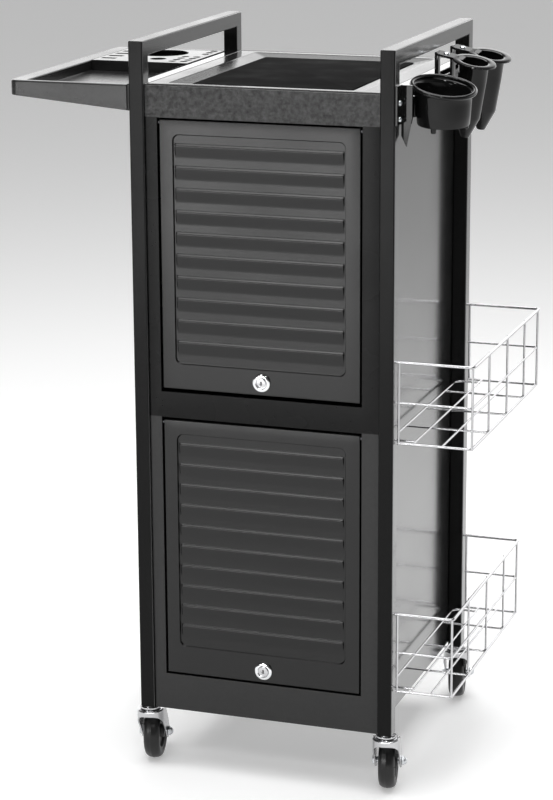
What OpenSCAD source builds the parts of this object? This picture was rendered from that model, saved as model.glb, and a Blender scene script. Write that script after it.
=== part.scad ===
// Salon trolley: a two-door steel cabinet between two tube side frames, on four swivel casters.
// Millimetres, +Z up, front of the cabinet towards -Y, floor at z = 0.
// The origin is the bottom centre of the whole trolley's bounding box.

/* [Frame] */
// Width over the outer faces of the posts
cart_w = 354; // [330:1:400]
// Depth over the outer faces of the posts
cart_d = 372; // [350:1:420]
// Length of a corner post
post_len = 900; // [880:1:950]
// Side of the square tube
tube = 20; // [18:1:25]
// Wall of the square tube
tube_wall = 1.2; // [1:0.1:2]
// Thickness of the sheet steel
sheet = 1.2; // [0.8:0.1:1.6]

/* [Cabinet] */
// Height of the top tray's floor above the floor
tray_z = 931; // [900:1:960]
// Height of the shelf between the compartments
shelf_z = 502; // [495:1:508]
// Distance of the cabinet's faces behind the faces of the posts
face_recess = 4; // [2:0.5:8]

/* [Doors] */
// Width of a door
door_w = 269; // [240:1:276]
// Height of the upper door
upper_door_h = 353; // [340:1:353]
// Bottom edge of the upper door above the floor
upper_door_z = 536; // [536:1:545]
// Height of the lower door
lower_door_h = 352; // [340:1:352]
// Bottom edge of the lower door above the floor
lower_door_z = 141; // [138:1:145]
// Gap between the sides of a door and the opening
door_gap = 2.5; // [1.5:0.5:3]
// Number of pressed louvres on a door
louvres = 10; // [6:1:10]
// Depth of the valleys between the louvres below the door's face
field_depth = 4; // [2:0.5:5]

/* [Side tray] */
// Reach of the side tray from the post
side_tray_w = 167; // [140:1:200]
// Height of the side tray's rim above the floor
side_tray_z = 932.5; // [920:0.5:940]
// Depth of the side tray's pan
side_tray_depth = 14; // [10:1:20]

/* [Baskets] */
// Reach of the upper basket from the post
upper_basket_w = 102; // [80:1:120]
// Reach of the lower basket from the post
lower_basket_w = 79; // [60:1:100]
// Height of a basket
basket_h = 107; // [90:1:120]
// Bottom of the upper basket above the floor
upper_basket_z = 486; // [460:1:500]
// Bottom of the lower basket above the floor
lower_basket_z = 149; // [145:1:180]

/* [Tool holders] */
// Radius of the dryer cup's rim
dryer_rim_r = 42.7; // [38:0.1:46]
// Radius of an iron cup's rim
iron_rim_r = 28.5; // [26:0.5:32]

/* [Casters] */
// Radius of a wheel
wheel_r = 37.5; // [35:0.5:38]
// Distance of the axle from the swivel axis
trail = 33; // [28:1:35]
// Height of the posts' feet above the floor
foot_z = 88; // [88:1:92]
// Angle the casters have swivelled to
yaw = 10.5; // [0:0.5:45]

/* [Hidden] */
$fn = 48;

half_w = cart_w / 2;
half_d = cart_d / 2;
top_z = foot_z + post_len;
inner_x = half_w - tube;          // the posts' inner faces
inner_y = half_d - tube;
post_x = half_w - tube / 2;       // the posts' axes
post_y = half_d - tube / 2;
face_y = half_d - face_recess;    // the cabinet's front and back faces
door_x = -3.3;                    // middle of the doors
open_half = door_w / 2 + door_gap;
upper_open = [upper_door_z - 4.6, upper_door_z + upper_door_h + 2.5];
lower_open = [lower_door_z - 2.5, lower_door_z + lower_door_h + 3.5];
frame_top = tray_z + 1.5;         // top of the face frame
panel_z = foot_z + 7;             // bottom edge of the side panels
rim_z = tray_z + 3;               // rim of the top tray
mat_t = 1.5;

// Doors
door_y = -face_y + 1;             // front face of a door
door_return = 12;                 // depth of the folded edges
hinge_back = 3;                   // hinge axis behind the door's face
hinge_down = 4;                   // hinge axis below the door's top edge
pin_r = 2;
run_fit = 0.05;                   // radial clearance of a running fit
field_w = 232.5;                  // embossed field
field_x = -4.2;
field_side_r = 10;
field_top = 18;                   // plain border above the field
upper_field_up = 33;              // plain border below the field
lower_field_up = 38;
ridge_first = 15;                 // first ridge below the field's top
ridge_last = 29;                  // last ridge above the field's bottom
valley_h = 16;                    // valley below its ridge
lock_x = -1.5;
upper_lock_up = 17;               // lock axis above the door's bottom edge
lower_lock_up = 16.5;
lock_r = 9;
lock_flange_r = 12;
plug_r = 6;
cam_len = 34;

// Side tray
tray_out_x = half_w + side_tray_w;
bracket_t = 3;
tray_in_x = half_w + bracket_t;
rim_w = 22;                       // flat border of the side tray
tray_corner_r = 10;
insert_y = 35;                    // front edge of the tool insert
fork_gap = 15.5;                  // inner half width of a caster fork
fork_t = 2.5;
axle_r = 4;
head_r = 18;
crown_r = 12.6;                   // rounding of the tread

// Tool holders
rail_lo = 895;
rail_hi = 930;
rail_out_x = half_w + bracket_t;
// Middle of each cup's rim, and the lean of its rim and of its body as [forward, outward]
dryer_at = [223.2, -130, 940.4];
dryer_rim_lean = [9, 10];
dryer_lean = [5, 1.5];
irons = [[230.9, -10, 955.8], [232.5, 65, 955.1]];
iron_rim_lean = [7, 12];
iron_lean = [5, 8];
iron_h = 101;

// Baskets
rim_wire = 2;
end_wire = 1.6;
grid_wire = 1.3;
corner_r = 10;
basket_y = post_y;

// The bounding box in the cabinet's own coordinates, from which the origin is set
low_x = -tray_out_x;
high_x = half_w + upper_basket_w + rim_wire;
low_y = -post_y - head_r;
high_y = post_y + (trail + wheel_r - crown_r) * cos(yaw) + crown_r;
shift = [-(low_x + high_x) / 2, -(low_y + high_y) / 2, 0];

// ---- helpers ----
module block(lo, hi) {
    translate(lo) cube([hi[0] - lo[0], hi[1] - lo[1], hi[2] - lo[2]]);
}

module rod_x(x0, x1, y, z, r) {
    translate([x0, y, z]) rotate([0, 90, 0]) cylinder(r = r, h = x1 - x0);
}

module rod_y(x, y0, y1, z, r) {
    translate([x, y0, z]) rotate([-90, 0, 0]) cylinder(r = r, h = y1 - y0);
}

module rod_z(x, y, z0, z1, r) {
    translate([x, y, z0]) cylinder(r = r, h = z1 - z0);
}

// A rounded rectangle from squares and circles, so its corners stay true arcs
module rounded(w, h, r) {
    square([w - 2 * r, h], center = true);
    square([w, h - 2 * r], center = true);
    for (sx = [-1, 1], sy = [-1, 1]) translate([sx * (w / 2 - r), sy * (h / 2 - r)]) circle(r = r);
}

// Stands a flat outline in X and Z, thickness t going to +Y from y
module upright(y, t) {
    translate([0, y + t, 0]) rotate([90, 0, 0]) linear_extrude(t) children();
}

// ---- frame ----
module post(sx, sy) {
    x = sx * post_x;
    y = sy * post_y;
    w = tube / 2;
    i = w - tube_wall;
    color("dimgray") difference() {
        block([x - w, y - w, foot_z], [x + w, y + w, top_z]);
        block([x - i, y - i, foot_z - 1], [x + i, y + i, top_z + 1]);
        screw_holes(sx, sy);
    }
}

module screw_holes(sx, sy) {
    for (z = screw_zs(sx))
        rod_x(sx > 0 ? post_x - 2 : -half_w - 40, sx > 0 ? half_w + 40 : 2 - post_x, sy * post_y, z, 2.1);
}

function screw_zs(sx) = sx > 0 ? [rail_lo + 7, rail_hi - 8] : [903, 912];

module handle(sx) {
    x = sx * post_x;
    w = tube / 2;
    i = w - tube_wall;
    color("dimgray") difference() {
        block([x - w, -inner_y, top_z - tube], [x + w, inner_y, top_z]);
        block([x - i, -inner_y - 1, top_z - tube + tube_wall], [x + i, inner_y + 1, top_z - tube_wall]);
    }
}

module tube_end_plugs() {
    i = tube / 2 - tube_wall;
    color("black") for (sx = [-1, 1], sy = [-1, 1]) translate([sx * post_x, sy * post_y, 0]) {
        block([-i, -i, top_z - 6], [i, i, top_z]);
        difference() {
            block([-i, -i, foot_z], [i, i, foot_z + 32]);
            rod_z(0, 0, foot_z - 1, foot_z + 33, 5.1);
        }
    }
}

module face_frame() {
    lip = 8;
    color("dimgray") difference() {
        union() {
            block([-inner_x, -face_y, foot_z], [inner_x, -face_y + sheet, frame_top]);
            block([-inner_x, -face_y, frame_top - sheet], [inner_x, -face_y + sheet, frame_top]);
            block([-inner_x + sheet, -face_y, frame_top - sheet], [inner_x - sheet, -face_y + 3, frame_top]);
            for (o = [upper_open, lower_open])
                block([door_x - open_half - sheet, -face_y, o[0] - sheet],
                      [door_x + open_half + sheet, -face_y + lip, o[1] + sheet]);
        }
        for (o = [upper_open, lower_open])
            block([door_x - open_half, -face_y - 1, o[0]], [door_x + open_half, -face_y + lip + 1, o[1]]);
        for (z = [upper_door_z + upper_door_h, lower_door_z + lower_door_h])
            rod_x(door_x - open_half - 20, door_x + open_half + 20, hinge_y(), z - hinge_down, pin_r + run_fit);
    }
}

module side_panel(sx) {
    x = sx * inner_x;
    t = sx * sheet;
    color("dimgray") {
        block([min(x - t, x), -face_y + sheet, panel_z], [max(x - t, x), face_y - sheet, rim_z]);
        block([min(x, x + sx * 14), -inner_y + 0.4, rim_z - sheet], [max(x, x + sx * 14), inner_y - 0.4, rim_z]);
    }
}

module back_panel() {
    color("dimgray") block([-inner_x, face_y - sheet, panel_z], [inner_x, face_y, rim_z]);
}

module floor_sheet(z) {
    x = inner_x - sheet;
    y = face_y - sheet;
    color("dimgray") difference() {
        block([-x, -y, z - 12], [x, y, z]);
        block([-x + sheet, -y + sheet, z - 13], [x - sheet, y - sheet, z - sheet]);
    }
}

module shelf() {
    x = inner_x - sheet;
    y = face_y - sheet;
    color("dimgray") difference() {
        block([-x, -y + 14, shelf_z - 8], [x, y, shelf_z]);
        block([-x + sheet, -y + 14 + sheet, shelf_z - 9], [x - sheet, y - sheet, shelf_z - sheet]);
    }
}

module slab(x, y, z, t) {
    translate([-x, -y, z]) cube([2 * x, 2 * y, t]);
}

module top_tray() {
    x = inner_x - sheet - 0.3;
    y = face_y - sheet - 2;
    floor_z = tray_z - mat_t;
    color("dimgray") difference() {
        slab(x, y, rim_z - 15, 15);
        hull() {
            slab(107, 142, floor_z, 0.1);
            slab(130, 165, rim_z, 1);
        }
        difference() {
            slab(x - sheet, y - sheet, rim_z - 16, 16 - sheet);
            hull() {
                slab(107 + sheet, 142 + sheet, floor_z - sheet, 0.1);
                slab(130 + sheet, 165 + sheet, rim_z, 1);
            }
        }
        slab(107, 142, rim_z - 20, floor_z - sheet - rim_z + 20);
    }
}

module tray_mat() {
    color("black") slab(107, 142, tray_z - mat_t, mat_t);
}

// ---- doors ----
function hinge_y() = door_y + hinge_back;

// Section of the pressed field, from the top: a slope out to a ridge, a small step in under
// it, a slope in to the valley, and out again to the next ridge
function field_section(top, bottom, pitch) = concat(
    [[door_y + field_depth / 2, top]],
    [for (i = [0 : louvres - 1]) let (z = top - ridge_first - i * pitch) each [
        [door_y, z], [door_y + 1.2, z - 0.8], [door_y + field_depth, z - valley_h]
    ]],
    [[door_y + 1, bottom]]
);

module field_sheet(top, bottom) {
    pitch = (top - bottom - ridge_first - ridge_last) / (louvres - 1);
    front = field_section(top, bottom, pitch);
    back = [for (i = [len(front) - 1 : -1 : 0]) [front[i][0] + sheet, front[i][1]]];
    across() linear_extrude(field_w) polygon(concat(front, back));
}

// Turns an outline in Y and Z so that it is extruded along +X from the field's left edge
module across() {
    translate([field_x - field_w / 2, 0, 0]) rotate([90, 0, 90]) children();
}

module door(z, h, field_up, lock_up) {
    top = z + h - field_top;
    bottom = z + field_up;
    mid = (top + bottom) / 2;
    x0 = door_x - door_w / 2;
    x1 = door_x + door_w / 2;
    color("dimgray") difference() {
        union() {
            difference() {
                block([x0, door_y, z], [x1, door_y + door_return, z + h]);
                block([x0 + sheet, door_y + sheet, z + sheet], [x1 - sheet, door_y + door_return + 1, z + h - sheet]);
                upright(door_y - 1, 4) translate([field_x, mid]) rounded(field_w, top - bottom, field_side_r);
            }
            intersection() {
                field_sheet(top, bottom);
                upright(door_y - 1, 20) translate([field_x, mid]) rounded(field_w, top - bottom, field_side_r);
            }
            upright(door_y, field_depth + sheet) translate([field_x, mid]) difference() {
                rounded(field_w, top - bottom, field_side_r);
                rounded(field_w - 2 * sheet, top - bottom - 2 * sheet, field_side_r - sheet);
            }
        }
        rod_y(lock_x, door_y - 1, door_y + 5, z + lock_up, lock_r + 0.1);
        rod_x(x0 - 1, x1 + 1, hinge_y(), z + h - hinge_down, pin_r + run_fit);
    }
}

module hinge_pins(z, h) {
    color("silver") translate([door_x, 0, 0]) for (side = [0, 1]) mirror([side, 0, 0]) {
        rod_x(door_w / 2 - 4, open_half + sheet + 2, hinge_y(), z + h - hinge_down, pin_r);
        rod_x(open_half + sheet, open_half + sheet + 2, hinge_y(), z + h - hinge_down, pin_r + 0.7);
    }
}

module lock_body(z) {
    color("silver") difference() {
        union() {
            rod_y(lock_x, door_y - 3, door_y, z, lock_flange_r);
            rod_y(lock_x, door_y, door_y + 16, z, lock_r);
        }
        rod_y(lock_x, door_y - 4, door_y + 17, z, plug_r + run_fit);
    }
}

module lock_nut(z) {
    y = door_y + sheet;
    color("silver") difference() {
        translate([lock_x, y, z]) rotate([-90, 0, 0]) cylinder(r = 13, h = 4, $fn = 6);
        rod_y(lock_x, y - 1, y + 5, z, lock_r + 0.05);
    }
}

module lock_plug(z) {
    color("silver") difference() {
        rod_y(lock_x, door_y - 3.6, door_y + 19, z, plug_r);
        block([lock_x - 0.9, door_y - 4, z - 3.6], [lock_x + 0.9, door_y + 4, z + 3.6]);
    }
}

// Cam blade and its screw; at rest it points sideways, clear of the rail below
module lock_cam(z) {
    y = door_y + 19;
    color("silver") {
        upright(y, 2) translate([lock_x, z]) {
            circle(r = 8);
            translate([0, -6.5]) square([cam_len, 13]);
        }
        rod_y(lock_x, y + 2, y + 4.5, z, 4);
    }
}

// ---- side tray ----
// The side tray seen from above, with its two outer corners rounded
module tray_plan(inset, z0, z1) {
    r = tray_corner_r - inset;
    x0 = -tray_out_x + inset;
    x1 = -tray_in_x - inset;
    y = half_d - inset;
    translate([0, 0, z0]) linear_extrude(z1 - z0) {
        translate([x0 + r, -y]) square([x1 - x0 - r, 2 * y]);
        translate([x0, -y + r]) square([2 * r, 2 * y - 2 * r]);
        for (sy = [-1, 1]) translate([x0 + r, sy * (y - r)]) circle(r = r);
    }
}

module side_tray() {
    pan_in = tray_in_x + sheet;
    pan_out = tray_out_x - rim_w;
    pan_y = half_d - 8;
    pan_z = side_tray_z - side_tray_depth;
    color("dimgray") difference() {
        intersection() {
            upright(-half_d, cart_d) polygon([
                [-tray_out_x, side_tray_z - 19], [-tray_out_x, side_tray_z],
                [-tray_in_x, side_tray_z], [-tray_in_x, side_tray_z - 33]
            ]);
            tray_plan(0, side_tray_z - 40, side_tray_z + 1);
        }
        block([-pan_out, -pan_y, pan_z], [-pan_in, pan_y, side_tray_z + 1]);
        tray_plan(sheet, side_tray_z - 60, pan_z - sheet);
        difference() {
            tray_plan(sheet, pan_z - 2, side_tray_z - sheet);
            block([-pan_out - sheet, -pan_y - sheet, pan_z - 3], [-tray_in_x + 1, pan_y + sheet, side_tray_z]);
        }
        for (sy = [-1, 1]) screw_holes(-1, sy);
    }
}

module insert_holes(z0, z1) {
    rod_z(-255, 132, z0, z1, 36);
    rod_z(-238, 71, z0, z1, 11);
    for (y = [60 : 26 : 138]) block([-317, y - 4.5, z0], [-296, y + 4.5, z1]);
    for (x = [-210, -193], y = [52 : 17 : 103]) rod_z(x, y, z0, z1, 5);
    for (y = [136 : 17 : 170]) rod_z(-193, y, z0, z1, 5);
}

module side_tray_insert() {
    x0 = -tray_out_x + rim_w + 0.3;
    x1 = -tray_in_x - sheet - 0.3;
    y1 = half_d - 8.3;
    z0 = side_tray_z - side_tray_depth;
    color("black") difference() {
        block([x0, insert_y, z0], [x1, y1, side_tray_z]);
        block([x0 + 2, insert_y + 2, z0 - 1], [x1 - 2, y1 - 2, side_tray_z - 2]);
        insert_holes(side_tray_z - 3, side_tray_z + 1);
    }
}

module side_tray_brackets() {
    color("black") difference() {
        for (sy = [-1, 1])
            block([-tray_in_x, sy * post_y - 8, 899], [-half_w, sy * post_y + 8, side_tray_z - 1.5]);
        for (sy = [-1, 1]) screw_holes(-1, sy);
    }
}

module panel_screws() {
    color("silver") for (sx = [-1, 1], sy = [-1, 1]) for (z = screw_zs(sx)) {
        head = sx > 0 ? rail_out_x : tray_in_x + sheet;
        translate([sx * head, sy * post_y, z]) rotate([0, sx * 90, 0]) {
            cylinder(r = 3.5, h = 2.2);
            translate([0, 0, -18]) cylinder(r = 2, h = 18.5);
        }
    }
}

// ---- tool holders ----
module holder_rail() {
    color("black") difference() {
        union() {
            block([half_w, -half_d, rail_lo], [rail_out_x, half_d, rail_hi]);
            block([half_w, -half_d, rail_hi - 5], [rail_out_x, -inner_y, rail_hi + 14]);
            upright(-inner_y, 4) polygon([
                [rail_out_x - 1, 943], [rail_out_x + 13, 943], [rail_out_x + 13, 902],
                [rail_out_x + 6, 866], [rail_out_x - 1, 880]
            ]);
        }
        for (sy = [-1, 1]) screw_holes(1, sy);
    }
}

// Stands something at a cup's rim, leaning forward and outward
module leaning(at, lean) {
    translate(at) rotate([lean[0], lean[1], 0]) children();
}

module dryer_cup() {
    h = 50;
    r_top = dryer_rim_r - 6;
    color("black") difference() {
        union() {
            leaning(dryer_at, dryer_rim_lean) rotate_extrude($fn = 64) {
                translate([dryer_rim_r - 3, -3]) circle(r = 3, $fn = 24);
                translate([r_top - 3, -5.5]) square([5, 4]);
            }
            leaning(dryer_at, dryer_lean) {
                rotate_extrude($fn = 64) polygon([[20, -h], [r_top - 4, -h], [r_top, -6], [r_top, -3], [20, -3]]);
                for (a = [-100, 140, 20]) rotate(a) translate([28, 0, -h - 6]) cylinder(r = 3.5, h = 7);
            }
            block([rail_out_x, dryer_at[1] - 14, 900], [190, dryer_at[1] + 14, 926]);
        }
        leaning(dryer_at, dryer_lean) {
            translate([0, 0, -h + 2.5]) cylinder(r1 = r_top - 6.5, r2 = r_top - 3, h = h + 10);
            translate([0, 0, -h - 1]) cylinder(r = 20, h = h);
        }
    }
}

module iron_cup(at) {
    color("black") difference() {
        union() {
            leaning(at, iron_rim_lean) {
                rotate_extrude($fn = 64) polygon([
                    [0, -3], [iron_rim_r - 1, -3], [iron_rim_r, -1.5], [iron_rim_r - 1, 0], [0, 0]
                ]);
                block([-iron_rim_r - 22, -9, -3], [-10, 9, 0]);
                translate([-iron_rim_r - 9, 0, 0]) cylinder(r = 4, h = 2);
            }
            leaning(at, iron_lean) rotate_extrude($fn = 64) polygon([
                [0, -iron_h], [5.5, -iron_h], [16, -iron_h + 26], [19.5, -8], [21, -2], [0, -2]
            ]);
            block([rail_out_x, at[1] - 9, rail_lo + 3], [rail_out_x + 3, at[1] + 9, at[2] + 11]);
        }
        leaning(at, iron_lean) rotate_extrude($fn = 64) polygon([
            [0, -iron_h - 1], [3, -iron_h - 1], [3, -iron_h + 2], [14, -iron_h + 27], [17.5, -8], [19, 10], [0, 10]
        ]);
    }
}

// ---- wire baskets ----
// w: reach from the post, z: height of the floor wires
module basket_end(w, z, sy) {
    y = sy * basket_y;
    xo = half_w + w;
    color("silver") {
        rod_x(half_w, xo - corner_r, y, z + basket_h, rim_wire);
        rod_z(half_w + 4, y, z, z + basket_h, end_wire);
        rod_z(xo - 3, y - sy * 3, z, z + basket_h - rim_wire - 0.2, end_wire);
        rod_x(half_w + 4, xo - 3, y - sy * 1.6, z + basket_h / 2, grid_wire);
        rod_x(half_w + 4, xo - 3, y - sy * 1.6, z, grid_wire);
    }
}

module basket_outer_side(w, z) {
    xo = half_w + w;
    y = basket_y - corner_r;
    color("silver") {
        rod_y(xo, -y, y, z + basket_h, rim_wire);
        for (sy = [0, 1]) mirror([0, sy, 0]) translate([xo - corner_r, y, z + basket_h])
            rotate_extrude(angle = 90, $fn = 48) translate([corner_r, 0]) circle(r = rim_wire, $fn = 24);
        for (gy = [-88, 0, 88]) rod_z(xo - 1.5, gy, z, z + basket_h, grid_wire);
        rod_y(xo, -y - 5, y + 5, z + basket_h / 2, end_wire);
        rod_y(xo, -y - 5, y + 5, z, end_wire + 0.2);
    }
}

module basket_floor(w, z, bars) {
    xo = half_w + w;
    xi = inner_x + 9;
    y = inner_y - 6 - corner_r;
    color("silver") {
        rod_y(xi, -y, y, z, end_wire);
        for (sy = [0, 1]) mirror([0, sy, 0]) {
            translate([xi + corner_r, y, z]) rotate(90)
                rotate_extrude(angle = 90, $fn = 48) translate([corner_r, 0]) circle(r = end_wire, $fn = 24);
            rod_x(xi + corner_r, half_w + 24, y + corner_r, z, end_wire);
        }
        for (bar = bars) rod_y(half_w + bar, -basket_y + 4, basket_y - 4, z + 1.5, grid_wire);
        for (gy = [-88, 0, 88]) rod_x(xi, xo - 3.5, gy, z - 0.6, grid_wire);
    }
}

// ---- casters ----
module caster_stems() {
    color("silver") for (sx = [-1, 1], sy = [-1, 1]) translate([sx * post_x, sy * post_y, 0]) {
        rod_z(0, 0, 73, foot_z + 30, 5);
        rod_z(0, 0, foot_z - 3.7, foot_z, 17);
        rod_z(0, 0, 72.5, 76.6, 8);
    }
}

module at_caster(sx, sy) {
    translate([sx * post_x, sy * post_y, 0]) rotate(yaw) children();
}

module fork_leg() {
    polygon([[-13, 79], [23, 79], [trail + 9.3, 41], [trail - 8, 32]]);
    translate([trail, wheel_r]) circle(r = 10);
}

module fork(sx, sy) {
    color("silver") at_caster(sx, sy) difference() {
        union() {
            rod_z(0, 0, 77, 80.6, head_r);
            rod_z(0, 0, 80, foot_z - 4, head_r - 2.5);
            block([-fork_gap - fork_t, -13, 77], [fork_gap + fork_t, 23, 79.5]);
            for (side = [0, 1]) mirror([side, 0, 0])
                translate([fork_gap, 0, 0]) rotate([90, 0, 90]) linear_extrude(fork_t) fork_leg();
        }
        rod_z(0, 0, 70, 90, 5 + run_fit);
        rod_x(-30, 30, trail, wheel_r, axle_r + run_fit);
    }
}

module axle(sx, sy) {
    out = fork_gap + fork_t;
    color("silver") at_caster(sx, sy) {
        rod_x(-out - 1, out + 2, trail, wheel_r, axle_r);
        translate([-out, trail, wheel_r]) rotate([0, -90, 0]) cylinder(r = 6.8, h = 3.5, $fn = 6);
        translate([out, trail, wheel_r]) rotate([0, 90, 0]) cylinder(r = 6.8, h = 3, $fn = 6);
        translate([out + 1.5, trail, wheel_r]) intersection() {
            sphere(r = 5);
            rotate([0, 90, 0]) cylinder(r = 6, h = 7);
        }
    }
}

module at_wheel(sx, sy) {
    at_caster(sx, sy) translate([0, trail, wheel_r]) rotate([0, 90, 0]) children();
}

module hub(sx, sy) {
    color("gray") at_wheel(sx, sy) difference() {
        union() {
            translate([0, 0, -10]) cylinder(r = 27, h = 20);
            translate([0, 0, -12.5]) cylinder(r = 9, h = 25);
        }
        translate([0, 0, -13]) cylinder(r = axle_r + run_fit, h = 26);
        for (side = [0, 1]) mirror([0, 0, side]) translate([0, 0, 6]) rotate_extrude() translate([10.5, 0]) square([12.5, 5]);
    }
}

module tyre(sx, sy) {
    color("black") at_wheel(sx, sy) rotate_extrude($fn = 96) intersection() {
        translate([wheel_r - crown_r, 0]) circle(r = crown_r);
        translate([27, -11]) square([12, 22]);
    }
}

// ---- the trolley ----
translate(shift) {
    post(-1, -1);  // post_front_left
    post(1, -1);  // post_front_right
    post(-1, 1);  // post_rear_left
    post(1, 1);  // post_rear_right
    handle(-1);  // handle_left
    handle(1);  // handle_right
    tube_end_plugs();
    face_frame();
    side_panel(-1);  // side_panel_left
    side_panel(1);  // side_panel_right
    back_panel();
    floor_sheet(panel_z + 13);  // bottom_panel
    shelf();
    top_tray();
    tray_mat();
    door(upper_door_z, upper_door_h, upper_field_up, upper_lock_up);  // upper_door
    hinge_pins(upper_door_z, upper_door_h);  // upper_hinge_pins
    lock_body(upper_door_z + upper_lock_up);  // upper_lock_body
    lock_nut(upper_door_z + upper_lock_up);  // upper_lock_nut
    lock_plug(upper_door_z + upper_lock_up);  // upper_lock_plug
    lock_cam(upper_door_z + upper_lock_up);  // upper_lock_cam
    door(lower_door_z, lower_door_h, lower_field_up, lower_lock_up);  // lower_door
    hinge_pins(lower_door_z, lower_door_h);  // lower_hinge_pins
    lock_body(lower_door_z + lower_lock_up);  // lower_lock_body
    lock_nut(lower_door_z + lower_lock_up);  // lower_lock_nut
    lock_plug(lower_door_z + lower_lock_up);  // lower_lock_plug
    lock_cam(lower_door_z + lower_lock_up);  // lower_lock_cam
    side_tray();
    side_tray_insert();
    side_tray_brackets();
    panel_screws();
    holder_rail();
    dryer_cup();
    iron_cup(irons[0]);  // iron_cup_front
    iron_cup(irons[1]);  // iron_cup_rear
    basket_end(upper_basket_w, upper_basket_z, -1);  // upper_basket_front_end
    basket_end(upper_basket_w, upper_basket_z, 1);  // upper_basket_rear_end
    basket_outer_side(upper_basket_w, upper_basket_z);  // upper_basket_outer_side
    basket_floor(upper_basket_w, upper_basket_z, [24, 62]);  // upper_basket_floor
    basket_end(lower_basket_w, lower_basket_z, -1);  // lower_basket_front_end
    basket_end(lower_basket_w, lower_basket_z, 1);  // lower_basket_rear_end
    basket_outer_side(lower_basket_w, lower_basket_z);  // lower_basket_outer_side
    basket_floor(lower_basket_w, lower_basket_z, [24, 50]);  // lower_basket_floor
    caster_stems();
    for (side = [["left", -1], ["right", 1]], end = [["front", -1], ["rear", 1]]) {
        fork(side[1], end[1]);
        axle(side[1], end[1]);
        hub(side[1], end[1]);
        tyre(side[1], end[1]);
    }
}
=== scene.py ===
"""Looks for the salon trolley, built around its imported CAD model.

Lengths named in mm are in the cabinet's own frame: its centre line is x = 0, y = 0, and the floor is z = 0.
"""

import math

import bmesh
import bpy
from mathutils import Matrix, Vector


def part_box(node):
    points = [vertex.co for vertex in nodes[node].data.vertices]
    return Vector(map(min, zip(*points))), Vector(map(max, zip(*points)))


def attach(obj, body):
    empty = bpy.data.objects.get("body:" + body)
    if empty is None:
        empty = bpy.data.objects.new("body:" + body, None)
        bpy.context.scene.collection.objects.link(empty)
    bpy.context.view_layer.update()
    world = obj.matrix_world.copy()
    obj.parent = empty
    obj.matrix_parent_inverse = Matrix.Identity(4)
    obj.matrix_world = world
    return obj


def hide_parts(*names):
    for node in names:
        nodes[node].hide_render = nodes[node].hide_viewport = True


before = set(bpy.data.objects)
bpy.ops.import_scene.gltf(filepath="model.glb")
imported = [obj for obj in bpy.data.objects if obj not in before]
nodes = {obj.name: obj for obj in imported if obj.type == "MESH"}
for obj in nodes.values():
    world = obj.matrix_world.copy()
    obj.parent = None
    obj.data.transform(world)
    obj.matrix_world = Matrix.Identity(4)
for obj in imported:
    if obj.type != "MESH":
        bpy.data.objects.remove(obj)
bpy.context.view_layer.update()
SIDES = {"left": -1, "right": 1}
ENDS = {"front": -1, "rear": 1}

posts = [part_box(f"post_{end}_{side}") for end in ENDS for side in SIDES]
LOW = Vector(min(b[0][i] for b in posts) for i in range(3)) * 1000
HIGH = Vector(max(b[1][i] for b in posts) for i in range(3)) * 1000
ORIGIN = Vector(((LOW.x + HIGH.x) / 2, (LOW.y + HIGH.y) / 2, 0))
HALF_W = (HIGH.x - LOW.x) / 2
HALF_D = (HIGH.y - LOW.y) / 2
FOOT_Z, TOP_Z = LOW.z, HIGH.z
TUBE = (posts[0][1].x - posts[0][0].x) * 1000
INNER_X, INNER_Y = HALF_W - TUBE, HALF_D - TUBE
POST_X, POST_Y = HALF_W - TUBE / 2, HALF_D - TUBE / 2


def place(x, y, z):
    """A point given in cabinet mm, in the row frame's metres."""
    return (Vector((x, y, z)) + ORIGIN) / 1000


def mm_box(node):
    """A CAD node's box in cabinet mm."""
    lo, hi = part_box(node)
    return lo * 1000 - ORIGIN, hi * 1000 - ORIGIN


# ---------------------------------------------------------------- materials
def new_material(name, colour, roughness, metallic=0.0, coat=0.0, coat_rough=0.1, level=0.5):
    """A shader with even values, to be varied by textures."""
    m = bpy.data.materials.new(name)
    m.use_nodes = True
    b = m.node_tree.nodes["Principled BSDF"]
    b.inputs["Base Color"].default_value = (*colour, 1)
    b.inputs["Roughness"].default_value = roughness
    b.inputs["Metallic"].default_value = metallic
    b.inputs["Coat Weight"].default_value = coat
    b.inputs["Coat Roughness"].default_value = coat_rough
    b.inputs["Specular IOR Level"].default_value = level
    return m


def node(m, kind, **values):
    """A shader node, with properties or inputs set by name."""
    n = m.node_tree.nodes.new(kind)
    for key, value in values.items():
        if hasattr(n, key):
            setattr(n, key, value)
        else:
            n.inputs[key.replace("_", " ")].default_value = value
    return n


def noise(m, scale, detail=2.0, roughness=0.5, stretch=None):
    """A noise texture over the object's own space, in features per metre."""
    coords = node(m, "ShaderNodeTexCoord")
    mapping = node(m, "ShaderNodeMapping")
    if stretch:
        mapping.inputs["Scale"].default_value = stretch
    n = node(m, "ShaderNodeTexNoise", Scale=scale, Detail=detail, Roughness=roughness)
    m.node_tree.links.new(coords.outputs["Object"], mapping.inputs["Vector"])
    m.node_tree.links.new(mapping.outputs["Vector"], n.inputs["Vector"])
    return n


def ramp(m, source, lo, hi, value_lo, value_hi):
    """Maps a texture's value range onto another range, clamped."""
    r = node(m, "ShaderNodeMapRange")
    for key, value in zip(("From Min", "From Max", "To Min", "To Max"), (lo, hi, value_lo, value_hi)):
        r.inputs[key].default_value = value
    m.node_tree.links.new(source, r.inputs["Value"])
    return r.outputs["Result"]


def bump(m, layers):
    """layers: (height socket, strength, distance in metres), chained."""
    tree = m.node_tree
    normal = None
    for height, strength, distance in layers:
        b = node(m, "ShaderNodeBump", Strength=strength, Distance=distance)
        tree.links.new(height, b.inputs["Height"])
        if normal is not None:
            tree.links.new(normal, b.inputs["Normal"])
        normal = b.outputs["Normal"]
    tree.links.new(normal, tree.nodes["Principled BSDF"].inputs["Normal"])


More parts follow.
